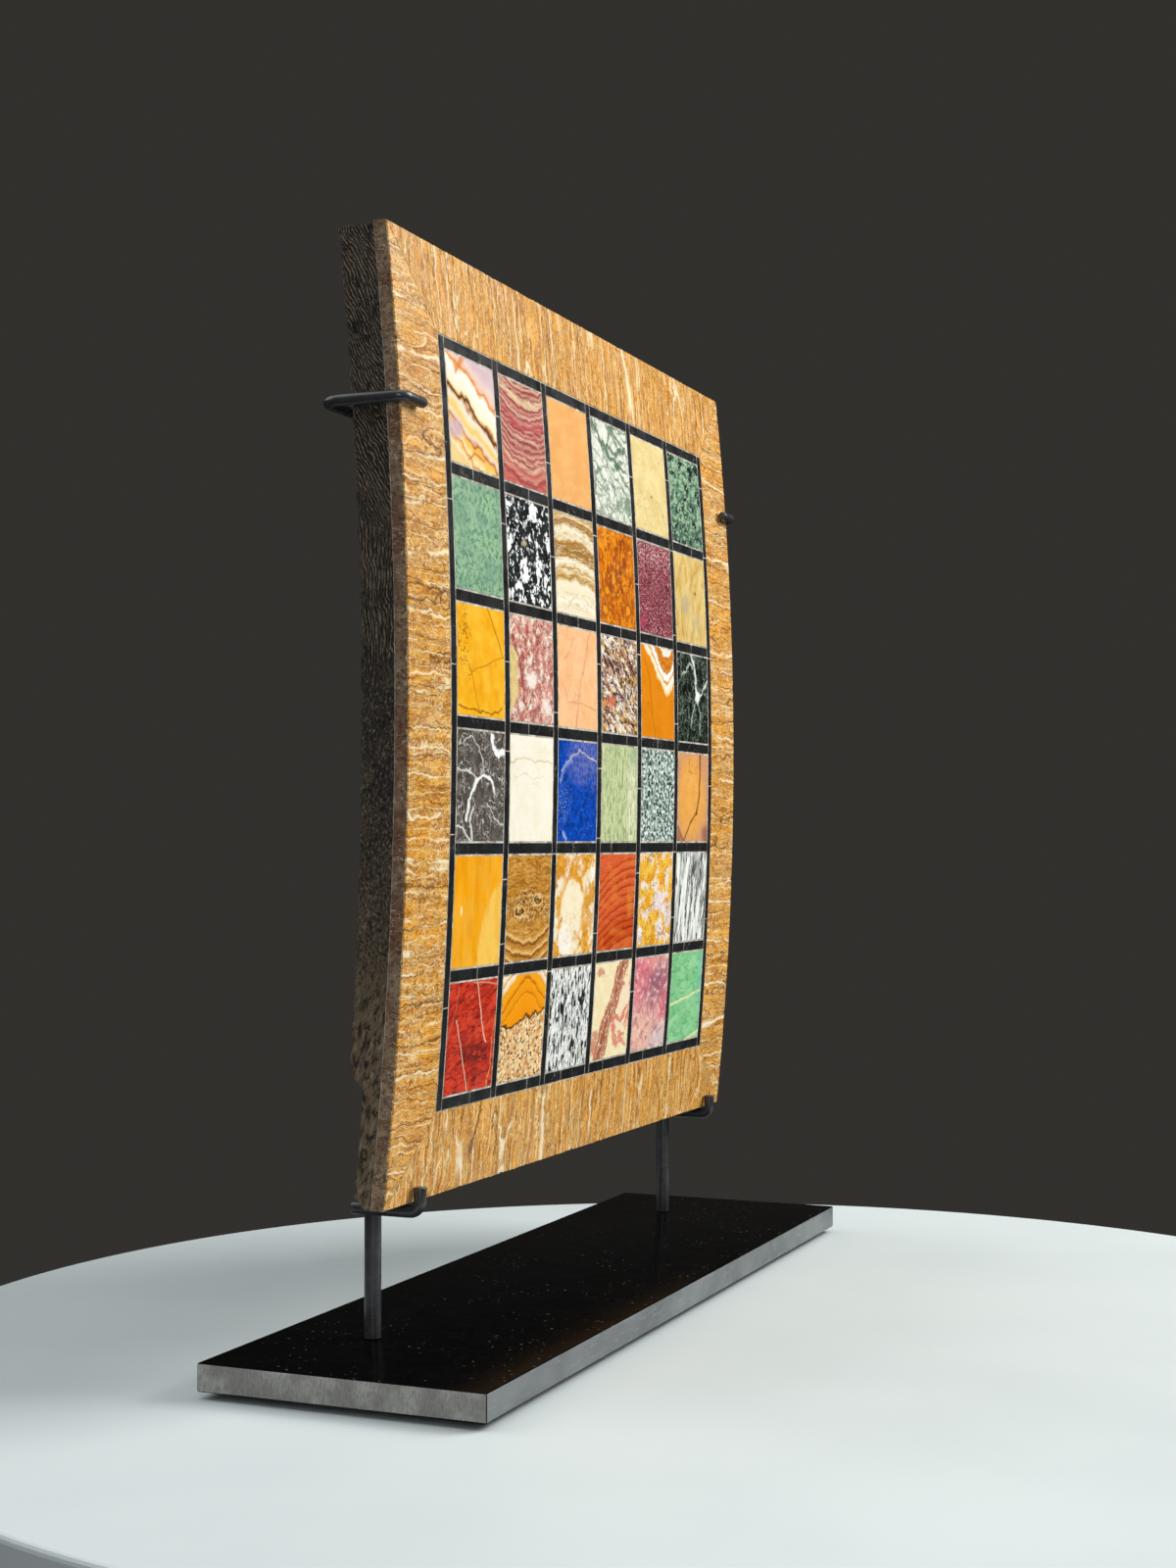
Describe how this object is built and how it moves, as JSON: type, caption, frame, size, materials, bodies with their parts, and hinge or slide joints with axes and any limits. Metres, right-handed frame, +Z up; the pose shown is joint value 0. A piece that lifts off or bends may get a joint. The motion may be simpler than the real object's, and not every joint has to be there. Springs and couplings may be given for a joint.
{
  "type": "marble specimen tablet on a stand",
  "caption": "Slightly bowed square tablet of polished stone squares in a black lattice with a banded amber border, on a thick rough slab, held by hooks and clips on a black steel stand.",
  "frame": {"origin": "on the surface that the pads rest on, under the middle of the base plate", "axes": "+X to the right of the face as seen from the front, -Y towards the viewer, +Z up"},
  "size_m": [0.39, 0.1076, 0.4009],
  "materials": {
    "stand_steel": "satin black on rod and plate, ground marks on the plate's edges",
    "pad_felt": "matt black",
    "slab_stone": "rough sawn and chipped, dark grey with beige flecks",
    "border_alabaster": "polished, honey amber with white, orange and brown bands across the border",
    "black_marble": "polished black with faint grey veins",
    "banded_onyx": "polished, cream and white with orange and dark brown slanting bands",
    "rose_alabaster": "polished, rose red with curved darker bands",
    "apricot_limestone": "polished, plain apricot",
    "green_veined_marble": "polished, white with a net of grey-green veins",
    "cream_marble": "polished, pale cream with faint fine veins",
    "teal_serpentine": "polished, dark teal green mottled with light sage",
    "sage_marble": "polished, fine sage green speckle",
    "black_white_breccia": "polished, black with angular white pieces",
    "tan_banded_alabaster": "polished, tan, brown and cream wavy level bands",
    "amber_alabaster": "polished, orange amber with red-brown upright streaks",
    "maroon_marble": "polished, maroon with pink flecks",
    "yellow_streaked_marble": "polished, pale yellow with brownish upright streaks",
    "golden_marble": "polished, golden yellow with thin brown cracks",
    "rose_breccia": "polished, pink-red breccia with white",
    "peach_marble": "polished, light peach with faint upright veins",
    "purple_breccia": "polished, purple-brown, white and cream small breccia",
    "orange_chevron_alabaster": "polished, orange amber with white chevron bands",
    "black_serpentine": "polished, black-green with a net of white veins",
    "dark_veined_marble": "polished, dark grey-brown with white veins",
    "ivory_marble": "polished, cream white with one faint wavy line",
    "lapis_lazuli": "polished, deep blue with pale veins and white flecks",
    "pale_green_marble": "polished, pale green with upright streaks",
    "grey_granite": "polished, fine grey-green and white speckle",
    "tan_cracked_marble": "polished, tan orange with a dark curved crack",
    "honey_marble": "polished, golden orange with a lighter curved zone",
    "burl_alabaster": "polished, brown with curls and small eyes like burl wood",
    "amber_cloud_alabaster": "polished, amber and cream clouds",
    "brick_red_marble": "polished, brick red with wavy darker arcs",
    "gold_breccia": "polished, yellow gold and white breccia with brown-red veins",
    "grey_streaked_marble": "polished, white with grey upright streaks",
    "red_jasper": "polished, red with dark maroon mottles and thin white lines",
    "landscape_stone": "polished, cream above an orange and brown band like a row of hills",
    "dashed_marble": "polished, white with short black upright dashes",
    "brick_veined_marble": "polished, cream with brick-brown and coral slanting veins",
    "mauve_marble": "polished, pink-mauve mottled",
    "mint_marble": "polished, mint green with a pale slanting streak"
  },
  "bodies": {
    "root": {"base_plate": "stand_steel", "pad_front_left": "pad_felt", "pad_front_right": "pad_felt", "pad_back_left": "pad_felt", "pad_back_right": "pad_felt", "upright_left": "stand_steel", "upright_right": "stand_steel", "hook_left": "stand_steel", "hook_right": "stand_steel", "clip_left": "stand_steel", "clip_right": "stand_steel", "backing_slab": "slab_stone", "border_top": "border_alabaster", "border_bottom": "border_alabaster", "border_left": "border_alabaster", "border_right": "border_alabaster", "black_lattice": "black_marble", "tile_1_1_banded_onyx": "banded_onyx", "tile_1_2_rose_alabaster": "rose_alabaster", "tile_1_3_apricot_limestone": "apricot_limestone", "tile_1_4_green_veined_marble": "green_veined_marble", "tile_1_5_cream_marble": "cream_marble", "tile_1_6_teal_serpentine": "teal_serpentine", "tile_2_1_sage_marble": "sage_marble", "tile_2_2_black_white_breccia": "black_white_breccia", "tile_2_3_tan_banded_alabaster": "tan_banded_alabaster", "tile_2_4_amber_alabaster": "amber_alabaster", "tile_2_5_maroon_marble": "maroon_marble", "tile_2_6_yellow_streaked_marble": "yellow_streaked_marble", "tile_3_1_golden_marble": "golden_marble", "tile_3_2_rose_breccia": "rose_breccia", "tile_3_3_peach_marble": "peach_marble", "tile_3_4_purple_breccia": "purple_breccia", "tile_3_5_orange_chevron_alabaster": "orange_chevron_alabaster", "tile_3_6_black_serpentine": "black_serpentine", "tile_4_1_dark_veined_marble": "dark_veined_marble", "tile_4_2_ivory_marble": "ivory_marble", "tile_4_3_lapis_lazuli": "lapis_lazuli", "tile_4_4_pale_green_marble": "pale_green_marble", "tile_4_5_grey_granite": "grey_granite", "tile_4_6_tan_cracked_marble": "tan_cracked_marble", "tile_5_1_honey_marble": "honey_marble", "tile_5_2_burl_alabaster": "burl_alabaster", "tile_5_3_amber_cloud_alabaster": "amber_cloud_alabaster", "tile_5_4_brick_red_marble": "brick_red_marble", "tile_5_5_gold_breccia": "gold_breccia", "tile_5_6_grey_streaked_marble": "grey_streaked_marble", "tile_6_1_red_jasper": "red_jasper", "tile_6_2_landscape_stone": "landscape_stone", "tile_6_3_dashed_marble": "dashed_marble", "tile_6_4_brick_veined_marble": "brick_veined_marble", "tile_6_5_mauve_marble": "mauve_marble", "tile_6_6_mint_marble": "mint_marble"}
  },
  "joints": []
}
